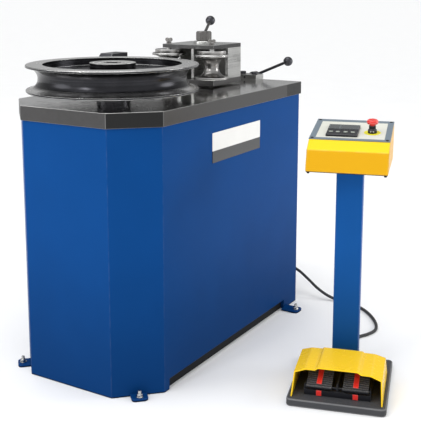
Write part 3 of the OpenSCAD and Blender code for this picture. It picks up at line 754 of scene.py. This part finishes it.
def socket_screw(bm: bmesh.types.BMesh, centre: Point, radius: float, proud: float,
                 turned: Matrix = Matrix.Identity(3)) -> None:
    """Adds a flat screw head with a hexagon socket, its face a little proud of a surface.

    Args:
        bm: The mesh to add to.
        centre: Middle of the head on the surface, in metres.
        radius: Radius of the head.
        proud: How far the face stands over the surface.
        turned: Turn from +Z to the surface's direction.
    """
    rim = bmesh.ops.create_circle(bm, cap_ends=False, segments=24, radius=radius)["verts"]
    mouth = bmesh.ops.create_circle(bm, cap_ends=False, segments=6, radius=radius * 0.52)["verts"]
    verts = list(rim) + list(mouth)
    edges = [edge for edge in {e for v in verts for e in v.link_edges}]
    annulus = bmesh.ops.bridge_loops(bm, edges=edges)
    inner = [edge for edge in edges if all(v in mouth for v in edge.verts)]
    outer = [edge for edge in edges if all(v in rim for v in edge.verts)]
    deep = bmesh.ops.extrude_edge_only(bm, edges=inner)["geom"]
    floor = [v for v in deep if isinstance(v, bmesh.types.BMVert)]
    bmesh.ops.translate(bm, verts=floor, vec=Vector((0, 0, -radius * 0.45)))
    bmesh.ops.contextual_create(bm, geom=[e for e in deep if isinstance(e, bmesh.types.BMEdge)
                                          and all(v in floor for v in e.verts)])
    skirt = [v for v in bmesh.ops.extrude_edge_only(bm, edges=outer)["geom"]
             if isinstance(v, bmesh.types.BMVert)]
    bmesh.ops.translate(bm, verts=skirt, vec=Vector((0, 0, -proud - 0.0006)))
    for vert in skirt:
        vert.co.x *= 1.03
        vert.co.y *= 1.03
    every = verts + floor + skirt
    bmesh.ops.translate(bm, verts=every, vec=Vector((0, 0, proud)))
    bmesh.ops.rotate(bm, verts=every, matrix=turned)
    bmesh.ops.translate(bm, verts=every, vec=Vector(centre))
    bmesh.ops.recalc_face_normals(bm, faces=list({f for v in every for f in v.link_faces}))
    LOG.debug("screw with %d faces", len(annulus["faces"]))


@dataclass
class SubAssembly:
    """What every sub-assembly shares: its finishes, its body and the rounding of its CAD shapes."""

    finishes: Finishes
    body: Body = Body.MACHINE

    def soften(self, node: str, finish: str, width_mm: float, slot: str, segments: int = 3,
               angle: float = 25.0, body: Body | None = None) -> bpy.types.Object:
        """Replaces a CAD node by a copy with rounded edges.

        Args:
            node: The CAD node.
            finish: Name of the finish.
            width_mm: Width of the rounding in millimetres.
            slot: The record's material slot; not used.
            segments: Steps of the rounding.
            angle: Smallest turn of an edge that is rounded, in degrees.
            body: What it rides on, if that isn't the sub-assembly's own body.

        Returns:
            The new piece.
        """
        bm = merged_copy(node)
        round_edges(bm, width_mm * MM, segments, angle)
        return finish_piece(node + "_dressed", bm, self.finishes[finish], body or self.body, (node,))


@dataclass
class Studio:
    """Camera at the photo's angle, a pale floor, soft lights and a light surround."""

    place: Point = (-2.6492, -1.8232, 1.3393)
    heading: tuple[float, float] = (0.8547, 0.5191)
    pitch: float = 9.654
    focal: float = 70.21
    lift: float = -0.2

    def camera(self) -> None:
        """Makes the camera."""
        data = bpy.data.cameras.new("photo_camera")
        data.lens = self.focal
        data.sensor_width = 36.0
        data.shift_y = self.lift
        data.clip_start, data.clip_end = 0.05, 100.0
        camera = bpy.data.objects.new("photo_camera", data)
        level = math.cos(math.radians(self.pitch))
        look = Vector((self.heading[0] * level, self.heading[1] * level, -math.sin(math.radians(self.pitch))))
        camera.location = self.place
        camera.rotation_mode = "QUATERNION"
        camera.rotation_quaternion = look.to_track_quat("-Z", "Y")
        bpy.context.scene.collection.objects.link(camera)
        bpy.context.scene.camera = camera

    def floor(self) -> None:
        """Makes the floor."""
        bm = bmesh.new()
        bmesh.ops.create_grid(bm, x_segments=2, y_segments=2, size=150.0)
        mesh = bpy.data.meshes.new("studio_floor")
        bm.to_mesh(mesh)
        bm.free()
        mesh.transform(Matrix.Translation((0, 0, -0.0003)))
        mesh.materials.append(FloorCoat().material())
        plane = bpy.data.objects.new("studio_floor", mesh)
        bpy.context.scene.collection.objects.link(plane)

    def sky(self, name: str, power: float, spread: float) -> None:
        """Makes the broad light from straight above.

        Args:
            name: The light's name.
            power: Its strength.
            spread: Its angular width in degrees.
        """
        data = bpy.data.lights.new(name, "SUN")
        data.energy = power
        data.angle = math.radians(spread)
        lamp = bpy.data.objects.new(name, data)
        lamp.location = (0, 0, 4)
        lamp.rotation_euler = (math.radians(-8), math.radians(-8), 0)
        bpy.context.scene.collection.objects.link(lamp)

    def area(self, name: str, place: Point, aim: Point, size: tuple[float, float], power: float) -> None:
        """Makes one soft light.

        Args:
            name: The light's name.
            place: Where it hangs.
            aim: What it faces.
            size: Its width and height in metres.
            power: Its power in watts.
        """
        data = bpy.data.lights.new(name, "AREA")
        data.shape = "ELLIPSE"
        data.size, data.size_y = size
        data.energy = power
        lamp = bpy.data.objects.new(name, data)
        lamp.location = place
        lamp.rotation_mode = "QUATERNION"
        lamp.rotation_quaternion = (Vector(aim) - Vector(place)).to_track_quat("-Z", "Y")
        bpy.context.scene.collection.objects.link(lamp)

    def lights(self) -> None:
        """Makes the lights and the surround."""
        self.sky("overhead_light", 1.75, 60.0)
        self.area("left_softbox", (-3.0, 2.6, 1.9), (0.0, 0.0, 0.7), (2.0, 2.0), 34.0)
        self.area("wheel_light", (-2.9, 0.2, 2.3), (-0.3, 0.0, 1.0), (0.4, 0.9), 14.0)
        self.area("right_softbox", (2.4, -3.6, 1.9), (0.0, -0.3, 0.6), (2.0, 2.0), 60.0)
        world = bpy.data.worlds.new("studio_surround")
        world.use_nodes = True
        nodes = NodeSet(world.node_tree)
        away = nodes.node("ShaderNodeTexCoord", output="Normal")
        behind = nodes.node("ShaderNodeVectorMath", {"operation": "DOT_PRODUCT"},
                            {0: away, 1: (*self.heading, 0.0)}, "Value")
        strength = 0.42 + behind.step(-0.5, 0.7) * 0.5
        surround = nodes.node("ShaderNodeBackground", inputs={"Color": (0.98, 0.99, 1.0), "Strength": strength})
        nodes.node("ShaderNodeOutputWorld", inputs={"Surface": surround}, output=None)
        bpy.context.scene.world = world
        bpy.context.scene.view_settings.view_transform = "Standard"

    def build(self) -> None:
        """Sets up the whole studio."""
        self.camera()
        self.floor()
        self.lights()
        LOG.info("studio: camera, floor and three soft lights")


@dataclass
class ConsoleFrame:
    """The console's own directions: p from the base's front edge, y to the left, z from the floor."""

    middle: tuple[float, float] = (-0.0795, -0.7844)
    turn: float = 16.5
    half_length: float = 0.1925
    panel_p: float = 0.221
    panel_z: float = 0.84
    panel_rise: float = math.degrees(math.atan2(31, 231))

    def at(self, p: float, y: float, z: float) -> Vector:
        """A console point in the machine's frame, all in millimetres going in."""
        return self.matrix() @ Vector((p * MM, y * MM, z * MM))

    def matrix(self) -> Matrix:
        """Places the console's own frame in the machine's."""
        turned = Matrix.Rotation(math.radians(self.turn), 4, "Z")
        return Matrix.Translation((*self.middle, 0.0)) @ turned @ Matrix.Translation((-self.half_length, 0, 0))

    def panel(self) -> Matrix:
        """Places the sloping panel's frame: x up the slope, y to the left, z out of it."""
        tilt = Matrix.Rotation(math.radians(-self.panel_rise), 4, "Y")
        return self.matrix() @ Matrix.Translation((self.panel_p, 0, self.panel_z)) @ tilt


@dataclass
class ControlCable(SubAssembly):
    """The lead from the cabinet's gland over the floor to the console's post."""

    radius: float = 0.006
    steps: int = 8
    console: ConsoleFrame = field(default_factory=ConsoleFrame)
    middle: tuple[Point, ...] = (
        (631, -192, 119.7), (645, -198, 118), (657, -207, 115.4), (666, -219, 112), (672, -233, 107.5),
        (674, -249, 102), (671, -273, 92), (662, -301, 79), (651, -331, 65), (641, -366, 46),
        (640, -406, 25), (644, -447, 10), (645, -490, 6), (634, -536, 6), (612, -580, 6), (576, -625, 6),
        (522, -671, 6), (466, -704, 6), (414, -718, 6), (366, -708, 6), (322, -687, 6), (276, -678, 7),
        (230, -688, 12), (191, -704, 26), (154, -715, 46))

    def route(self) -> list[Vector]:
        """The route's points in metres, from the cabinet to the console."""
        start = [Vector((602.0 + s, -190.0, 120.0)) * MM for s in (0.3, 7.0, 14.0)]
        end = [self.console.at(370.0 + s, 0.0, 62.0 - 0.008 * max(0.0, s - 12.0) ** 2)
               for s in (36.0, 24.0, 12.0, 0.3)]
        return start + [Vector(point) * MM for point in self.middle] + end

    def line(self) -> list[Vector]:
        """One smooth line through the route's points.

        Returns:
            Close points on a Catmull-Rom curve.
        """
        points = self.route()
        points = [2 * points[0] - points[1], *points, 2 * points[-1] - points[-2]]
        close = []
        for a, b, c, d in zip(points, points[1:], points[2:], points[3:]):
            for k in range(self.steps):
                t = k / self.steps
                close.append(0.5 * (2 * b + (c - a) * t + (2 * a - 5 * b + 4 * c - d) * t ** 2
                                    + (3 * b - 3 * c + d - a) * t ** 3))
        return close + [points[-2]]

    def build(self) -> None:
        close = self.line()
        data = bpy.data.curves.new("control_cable_sheath", "CURVE")
        data.dimensions = "3D"
        data.bevel_depth = self.radius
        data.bevel_resolution = 5
        data.use_fill_caps = True
        spline = data.splines.new("POLY")
        spline.points.add(len(close) - 1)
        for point, place in zip(spline.points, close):
            point.co = (*place, 1.0)
        data.materials.append(self.finishes["cable_rubber"])
        cable = bpy.data.objects.new("control_cable_sheath", data)
        bpy.context.scene.collection.objects.link(cable)
        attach(cable, self.body.value)
        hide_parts("control_cable")
        length = sum((b - a).length for a, b in zip(close, close[1:]))
        boots = [self.soften("cabinet_gland", "black_pedal_plastic", 0.6, "black_plastic"),
                 self.soften("post_gland", "black_pedal_plastic", 0.6, "black_plastic")]
        LOG.info("control cable: %.3f m", length)


@dataclass
class Cabinet(SubAssembly):
    """Blue housing with its toe recess, floor tabs, service panel and blank sign plate."""

    tab_holes: tuple[Point, ...] = (
        (-0.51914, -0.25714, 0.009), (-0.51914, 0.25714, 0.009), (0.452, -0.356, 0.009), (0.452, 0.356, 0.009))
    stud_l: float = 0.022
    service_screws: tuple[tuple[float, float], ...] = tuple(
        (side * 0.228, z) for side in (-1, 1) for z in (0.192, 0.51, 0.828))

    def anchor_bolts(self) -> None:
        """Makes the bright bolts in the floor tabs."""
        bm = bmesh.new()
        for number, hole in enumerate(self.tab_holes):
            hexagon_head(bm, hole, 0.018, 0.0085, 0.0125, 0.3 + number)
            stud = bmesh.ops.create_cone(bm, cap_ends=True, segments=24, radius1=0.0055, radius2=0.0055,
                                         depth=self.stud_l)["verts"]
            bmesh.ops.translate(bm, verts=stud, vec=Vector(hole) + Vector((0, 0, self.stud_l / 2)))
        round_edges(bm, 0.0006, 2)
        finish_piece("anchor_bolts", bm, self.finishes["bright_washer_steel"], self.body)

    def panel_screws(self) -> None:
        """Makes the screws of the service panel."""
        bm = bmesh.new()
        outward = Matrix.Rotation(math.radians(90), 3, "Y")
        for y, z in self.service_screws:
            socket_screw(bm, (0.566, y, z), 0.005, 0.002, outward)
        finish_piece("service_panel_screws", bm, self.finishes["blackened_screw_steel"], self.body)

    def build(self) -> None:
        """Makes the cabinet's pieces."""
        self.soften("cabinet", "blue_powder_coat", 2.0, "blue_paint", 4)
        # The black base rails in the toe recess are painted shade: a dark piece where the gap under the cabinet lies
        # in shade
        self.soften("base_rails", "black_rail_paint", 1.0, "black_paint")
        self.soften("service_panel", "blue_powder_coat", 0.7, "blue_paint", 2)
        self.soften("front_anchor_tabs", "blue_powder_coat", 1.0, "blue_paint")
        self.soften("rear_anchor_tabs", "blue_powder_coat", 1.0, "blue_paint")
        self.soften("sign_plate", "sign_sheet", 0.6, "plate_paint", 2)
        self.anchor_bolts()
        self.panel_screws()


@dataclass
class Table(SubAssembly):
    """Polished steel table with its end block and the flush screws in its face."""

    top_z: float = 0.95
    screws: tuple[tuple[float, float], ...] = (
        (-0.543, 0.009), (-0.153, -0.265), (0.047, -0.275), (-0.153, 0.265), (0.047, 0.275))

    def flush_screws(self) -> None:
        """Makes the screws in the table's face."""
        bm = bmesh.new()
        for x, y in self.screws:
            socket_screw(bm, (x, y, self.top_z), 0.0065, 0.0004)
        finish_piece("table_screws", bm, self.finishes["bright_washer_steel"], self.body)

    def build(self) -> None:
        """Makes the table's pieces."""
        self.soften("table_top", "polished_table_steel", 1.2, "table_steel")
        self.soften("end_block", "ground_head_steel", 1.2, "ground_steel")
        self.soften("end_block_bolts", "blackened_screw_steel", 0.5, "bolt_steel", 2)
        self.flush_screws()


@dataclass
class BendingDie(SubAssembly):
    """Grooved wheel on its spindle with the arm and hook that draw the tube round."""

    body: Body = Body.DIE

    def build(self) -> None:
        """Makes the wheel, spindle, arm and hook."""
        self.soften("bending_wheel", "turned_wheel_steel", 1.6, "wheel_steel", 3)
        self.soften("spindle", "turned_spindle_steel", 0.7, "wheel_steel")
        self.soften("hook_arm", "blackened_screw_steel", 1.2, "wheel_steel")
        self.soften("tube_hook", "blackened_screw_steel", 2.0, "wheel_steel", 4)


@dataclass
class RollerHead(SubAssembly):
    """Sliding head of ground plates with its two grooved rollers."""

    body: Body = Body.HEAD

    def build(self) -> None:
        """Makes the plates, pins, screws and rollers."""
        # The head's base plate is made dark as painted shade under the head
        self.soften("head_base", "painted_shade_base_steel", 1.0, "ground_steel")
        self.soften("head_top_plate", "ground_lid_steel", 1.0, "ground_steel")
        for node in ("head_side_walls", "head_back_wall", "head_rib"):
            self.soften(node, "ground_head_steel", 1.0, "ground_steel")
        self.soften("roller_pins", "bright_washer_steel", 0.6, "bolt_steel", 2)
        self.soften("wing_screws", "plain_lever_steel", 1.0, "bolt_steel")
        self.soften("lever_washer", "bright_washer_steel", 0.5, "bolt_steel", 2)
        for side, body in (("near", Body.NEAR_ROLLER), ("far", Body.FAR_ROLLER)):
            steel = f"turned_{side}_roller_steel"
            self.soften(f"{side}_roller", steel, 1.2, "roller_steel", body=body)
            self.soften(f"{side}_roller_cap", steel, 1.5, "roller_steel", body=body)


@dataclass
class ClampLevers(SubAssembly):
    """The two levers with their rods and balls."""

    def build(self) -> None:
        """Makes both levers."""
        for side, body in (("head", Body.HEAD_LEVER), ("end", Body.END_LEVER)):
            steel = "plain_lever_steel" if side == "head" else "blackened_screw_steel"
            self.soften(f"{side}_lever", steel, 0.9, "bolt_steel", body=body)
            self.soften(f"{side}_lever_ball", "blackened_screw_steel", 0.4, "bolt_steel", 2, body=body)


@dataclass
class Console(SubAssembly):
    """Post with the yellow box, its sloping panel, display and stop button."""

    place: ConsoleFrame = field(default_factory=ConsoleFrame)
    frame_screws: tuple[tuple[float, float], ...] = ((9.0, -123.0), (9.0, 123.0), (221.0, -123.0), (221.0, 123.0))
    windows: tuple[tuple[float, float, float, float], ...] = ((101.0, 141.0, 46.0, 75.0), (101.0, 141.0, -17.0, 38.0))
    key_rows: tuple[float, ...] = (67.0, 44.0, 18.0, -6.0)

    def on_panel(self, verts: list[bmesh.types.BMVert], bm: bmesh.types.BMesh) -> None:
        """Moves vertices from the panel's frame into the machine's."""
        bmesh.ops.transform(bm, matrix=self.place.panel(), verts=verts)

    def slab(self, bm: bmesh.types.BMesh, s0: float, s1: float, y0: float, y1: float, z0: float,
             z1: float) -> list[bmesh.types.BMVert]:
        """Adds a plain block in the panel's frame, in millimetres.

        Args:
            bm: The mesh to add to.
            s0: Lower end up the slope.
            s1: Upper end up the slope.
            y0: Right side.
            y1: Left side.
            z0: Underside.
            z1: Upper side.

        Returns:
            The block's vertices.
        """
        verts = bmesh.ops.create_cube(bm, size=1.0)["verts"]
        bmesh.ops.scale(bm, vec=Vector((s1 - s0, y1 - y0, z1 - z0)) * MM, verts=verts)
        bmesh.ops.translate(bm, verts=verts, vec=Vector((s0 + s1, y0 + y1, z0 + z1)) * MM / 2)
        return verts

    def display(self) -> None:
        """Makes the display's windows in their raised frames, and its keys."""
        rims = bmesh.new()
        panes = bmesh.new()
        for s0, s1, y0, y1 in self.windows:
            verts = self.slab(rims, s0 - 4, s1 + 4, y0 - 4, y1 + 4, 9.5, 11.2)
            top = max({f for v in verts for f in v.link_faces}, key=lambda f: f.calc_center_median().z)
            inner = bmesh.ops.inset_region(rims, faces=[top], thickness=0.003, depth=0.0)["faces"]
            bmesh.ops.translate(rims, verts=list(top.verts), vec=Vector((0, 0, -0.0008)))
            LOG.debug("window rim with %d inset faces", len(inner))
            self.slab(panes, s0 - 0.8, s1 + 0.8, y0 - 0.8, y1 + 0.8, 10.2, 10.7)
        round_edges(rims, 0.0005, 2)
        self.on_panel(rims.verts[:], rims)
        self.on_panel(panes.verts[:], panes)
        finish_piece("display_window_frames", rims, self.finishes["grey_trim_plastic"], self.body)
        finish_piece("display_windows", panes, self.finishes["display_window"], self.body)
        keys = bmesh.new()
        for y in self.key_rows:
            verts = bmesh.ops.create_cone(keys, cap_ends=True, segments=24, radius1=0.0065, radius2=0.006,
                                          depth=0.0022)["verts"]
            bmesh.ops.scale(keys, vec=Vector((0.75, 1.15, 1.0)), verts=verts)
            bmesh.ops.translate(keys, verts=verts, vec=Vector((62.0, y, 11.0)) * MM)
        round_edges(keys, 0.0005, 2)
        self.on_panel(keys.verts[:], keys)
        finish_piece("display_keys", keys, self.finishes["light_key_plastic"], self.body)

    def base(self) -> None:
        """Makes the base with a raised lip round its upper face."""
        bm = merged_copy("console_base")
        round_edges(bm, 0.004, 4)
        top = max(bm.faces, key=lambda face: face.normal.z * face.calc_area())
        rounded = bm.faces.layers.float.get(EDGE)
        # The lip's inner ring is marked as a rounded edge, so it runs lighter: a painted highlight
        for thickness, depth in ((0.0045, 0.0), (0.0015, -0.0016)):
            ring = bmesh.ops.inset_region(bm, faces=[top], thickness=thickness, depth=depth)["faces"]
            for face in ring:
                face[rounded] = 1.0 if depth else 0.0
        finish_piece("console_base_dressed", bm, self.finishes["charcoal_base_plastic"], self.body,
                     ("console_base",))

    def underside(self) -> None:
        """Makes the dark sheet that closes the box from below."""
        bm = bmesh.new()
        verts = bmesh.ops.create_cube(bm, size=1.0)["verts"]
        bmesh.ops.scale(bm, vec=Vector((0.2866, 0.2626, 0.0018)), verts=verts)
        bmesh.ops.translate(bm, verts=verts, vec=Vector((0.295, 0.0, 0.7443)))
        round_edges(bm, 0.0004, 2)
        bmesh.ops.transform(bm, matrix=self.place.matrix(), verts=bm.verts)
        finish_piece("box_underside", bm, self.finishes["black_rail_paint"], self.body)

    def button_screws(self) -> None:
        """Makes the two bright terminal screws on the front of the stop button's foot."""
        bm = bmesh.new()
        front = Matrix.Rotation(math.radians(-90), 3, "Y")
        for side in (-1, 1):
            place = Vector((92.0 - 14.6, -68.0 + side * 4.5, 3.0 + 7.5)) * MM
            socket_screw(bm, tuple(place), 0.0026, 0.001, front)
        bmesh.ops.transform(bm, matrix=self.place.panel(), verts=bm.verts)
        finish_piece("stop_button_screws", bm, self.finishes["bright_washer_steel"], self.body)

    def corner_screws(self) -> None:
        """Makes the four dark screws of the panel's frame."""
        bm = bmesh.new()
        panel = self.place.panel()
        for s, y in self.frame_screws:
            socket_screw(bm, tuple(panel @ Vector((s * MM, y * MM, 0.003))), 0.0055, 0.0015, panel.to_3x3())
        finish_piece("panel_frame_screws", bm, self.finishes["blackened_screw_steel"], self.body)

    def build(self) -> None:
        """Makes the console's pieces."""
        self.base()
        # The post wears the lighter copy of the cabinet's blue, painted light
        self.soften("console_post", "blue_paint_lit_copy", 3.0, "blue_paint", 4)
        self.soften("console_box", "signal_yellow_paint", 4.0, "yellow_paint", 4, 12.0)
        if "box_feet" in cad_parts:
            self.soften("box_feet", "black_pedal_plastic", 0.8, "black_plastic", 2)
        self.soften("panel_frame", "grey_frame_paint", 0.8, "grey_paint")
        self.soften("panel_plate", "light_plate_paint", 0.3, "plate_paint", 2)
        self.soften("display_unit", "black_pedal_plastic", 1.6, "black_plastic")
        self.soften("stop_ring", "yellow_ring_plastic", 0.3, "yellow_plastic", 2)
        self.soften("stop_body", "black_pedal_plastic", 0.8, "black_plastic")
        self.soften("stop_button", "red_stop_plastic", 1.6, "red_plastic", 4, body=Body.STOP)
        self.underside()
        self.button_screws()
        self.corner_screws()
        self.display()


@dataclass
class FootPedals(SubAssembly):
    """Yellow hood over the housing with two ribbed pedals."""

    def hood(self) -> None:
        """Makes the hood with wide soft ridges and a narrow rounding at its rim."""
        bm = merged_copy("pedal_hood")
        round_edges(bm, 0.004, 4, 12.0, 65.0)
        round_edges(bm, 0.0009, 2, 70.0)
        finish_piece("pedal_hood_dressed", bm, self.finishes["yellow_hood_plastic"], self.body,
                     ("pedal_hood",))

    def pedal(self, side: str, body: Body) -> None:
        """Makes one pedal, with the faces of its treads marked as worn.

        Args:
            side: left or right.
            body: What it rides on.
        """
        bm = merged_copy(f"{side}_pedal")
        top = max(bm.faces, key=lambda face: face.normal.z * face.calc_area())
        out = top.normal.copy()
        highest = max(vert.co.dot(out) for vert in bm.verts)
        worn = bm.faces.layers.float.new(WORN)
        round_edges(bm, 0.0006, 2)
        for face in bm.faces:
            if face.normal.dot(out) > 0.5 and face.calc_center_median().dot(out) > highest - 0.001:
                face[worn] = 1.0
        finish_piece(f"{side}_pedal_dressed", bm, self.finishes["black_pedal_plastic"], body,
                     (f"{side}_pedal",))

    def build(self) -> None:
        """Makes the hood, housing, pedals, latches and tongues."""
        self.hood()
        self.soften("pedal_housing", "black_pedal_plastic", 1.2, "black_plastic")
        self.soften("latch_tongues", "red_stop_plastic", 0.8, "red_plastic", 2)
        for side, body in (("left", Body.LEFT_PEDAL), ("right", Body.RIGHT_PEDAL)):
            self.pedal(side, body)
            self.soften(f"{side}_latch", "red_stop_plastic", 0.8, "red_plastic", 2, body=body)


def main() -> None:
    """Builds everything in order."""
    logging.basicConfig(level=logging.INFO, format="%(message)s")
    finishes = Finishes()
    Studio().build()
    for part in (ControlCable(finishes), Cabinet(finishes), Table(finishes), BendingDie(finishes),
                 RollerHead(finishes), ClampLevers(finishes), Console(finishes), FootPedals(finishes)):
        part.build()
        LOG.info("%s is done", type(part).__name__)


if __name__ == "__main__":
    main()
